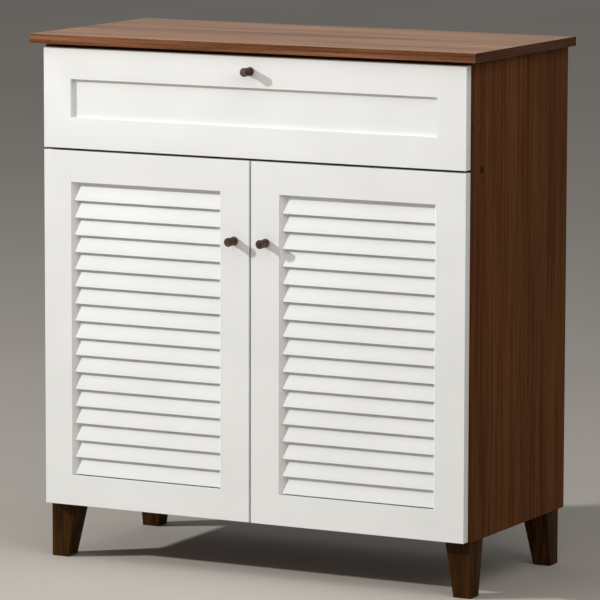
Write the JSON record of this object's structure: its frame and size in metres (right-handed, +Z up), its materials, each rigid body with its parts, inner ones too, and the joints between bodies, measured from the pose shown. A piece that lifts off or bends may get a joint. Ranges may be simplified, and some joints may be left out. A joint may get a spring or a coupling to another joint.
{
  "type": "shoe cabinet",
  "caption": "Walnut and white shoe cabinet on tapered legs, with a shallow drawer over a pair of louvred doors and shelves behind them.",
  "frame": {"origin": "on the floor, under the middle of the cabinet's overall width and depth (knobs included)", "axes": "+Z up, fronts face -Y, +X is the right-hand side as one stands before the cabinet"},
  "size_m": [0.8, 0.391, 0.865],
  "materials": {
    "walnut_laminate": "satin walnut-look laminate",
    "white_paint": "satin white paint on fibreboard",
    "dark_wood": "dark walnut stain",
    "white_laminate": "matt white laminate",
    "back_board": "raw hardboard",
    "plated_steel": "nickel plated",
    "white_enamel": "epoxy coated",
    "nylon": "moulded nylon"
  },
  "bodies": {
    "carcass": {"back_panel": "back_board", "bottom_panel": "walnut_laminate", "cabinet_left_runner": "white_enamel", "cabinet_right_runner": "white_enamel", "drawer_deck": "walnut_laminate", "front_left_leg": "dark_wood", "front_left_leg_plate": "plated_steel", "front_right_leg": "dark_wood", "front_right_leg_plate": "plated_steel", "front_top_rail": "walnut_laminate", "left_lower_front_shelf_pin": "plated_steel", "left_lower_hinge_arm": "plated_steel", "left_lower_rear_shelf_pin": "plated_steel", "left_side_panel": "walnut_laminate", "left_upper_front_shelf_pin": "plated_steel", "left_upper_hinge_arm": "plated_steel", "left_upper_rear_shelf_pin": "plated_steel", "lower_shelf": "walnut_laminate", "rear_left_leg": "dark_wood", "rear_left_leg_plate": "plated_steel", "rear_right_leg": "dark_wood", "rear_right_leg_plate": "plated_steel", "rear_top_rail": "walnut_laminate", "right_lower_front_shelf_pin": "plated_steel", "right_lower_hinge_arm": "plated_steel", "right_lower_rear_shelf_pin": "plated_steel", "right_side_panel": "walnut_laminate", "right_upper_front_shelf_pin": "plated_steel", "right_upper_hinge_arm": "plated_steel", "right_upper_rear_shelf_pin": "plated_steel", "top_panel": "walnut_laminate", "upper_shelf": "walnut_laminate"},
    "drawer": {"drawer_back": "white_laminate", "drawer_floor": "white_laminate", "drawer_front": "white_paint", "drawer_knob": "dark_wood", "drawer_knob_screw": "plated_steel", "drawer_left_runner": "white_enamel", "drawer_left_side": "white_laminate", "drawer_right_runner": "white_enamel", "drawer_right_side": "white_laminate"},
    "left_door": {"left_door_frame": "white_paint", "left_door_knob": "dark_wood", "left_door_knob_screw": "plated_steel", "left_door_louvre_panel": "white_paint", "left_lower_hinge_cup": "plated_steel", "left_upper_hinge_cup": "plated_steel"},
    "right_door": {"right_door_frame": "white_paint", "right_door_knob": "dark_wood", "right_door_knob_screw": "plated_steel", "right_door_louvre_panel": "white_paint", "right_lower_hinge_cup": "plated_steel", "right_upper_hinge_cup": "plated_steel"},
    "cabinet_left_wheel": {"cabinet_left_roller": "nylon"},
    "cabinet_right_wheel": {"cabinet_right_roller": "nylon"},
    "drawer_left_wheel": {"drawer_left_roller": "nylon"},
    "drawer_right_wheel": {"drawer_right_roller": "nylon"}
  },
  "joints": [
    {"name": "drawer_slide", "type": "slide", "parent": "carcass", "child": "drawer", "axis": [0, -1, 0], "range_m": [0, 0.23]},
    {"name": "left_door_hinge", "type": "hinge", "parent": "carcass", "child": "left_door", "pos_m": [-0.374, -0.1695, 0.385], "axis": [0, 0, -1], "range_deg": [0, 110]},
    {"name": "right_door_hinge", "type": "hinge", "parent": "carcass", "child": "right_door", "pos_m": [0.374, -0.1695, 0.385], "axis": [0, 0, 1], "range_deg": [0, 110]},
    {"name": "cabinet_left_roller_spin", "type": "hinge", "parent": "carcass", "child": "cabinet_left_wheel", "pos_m": [-0.3655, -0.1415, 0.7079], "axis": [1, 0, 0], "range_deg": [0, 1500]},
    {"name": "drawer_left_roller_spin", "type": "hinge", "parent": "drawer", "child": "drawer_left_wheel", "pos_m": [-0.3655, 0.1496, 0.7072], "axis": [1, 0, 0], "range_deg": [0, 1500]},
    {"name": "cabinet_right_roller_spin", "type": "hinge", "parent": "carcass", "child": "cabinet_right_wheel", "pos_m": [0.3655, -0.1415, 0.7079], "axis": [1, 0, 0], "range_deg": [0, 1500]},
    {"name": "drawer_right_roller_spin", "type": "hinge", "parent": "drawer", "child": "drawer_right_wheel", "pos_m": [0.3655, 0.1496, 0.7072], "axis": [1, 0, 0], "range_deg": [0, 1500]}
  ],
  "couplings": [
    {"joint": "cabinet_left_roller_spin", "follows": "drawer_slide", "rad_per_m": 113.64},
    {"joint": "drawer_left_roller_spin", "follows": "drawer_slide", "rad_per_m": 113.64},
    {"joint": "cabinet_right_roller_spin", "follows": "drawer_slide", "rad_per_m": 113.64},
    {"joint": "drawer_right_roller_spin", "follows": "drawer_slide", "rad_per_m": 113.64}
  ]
}
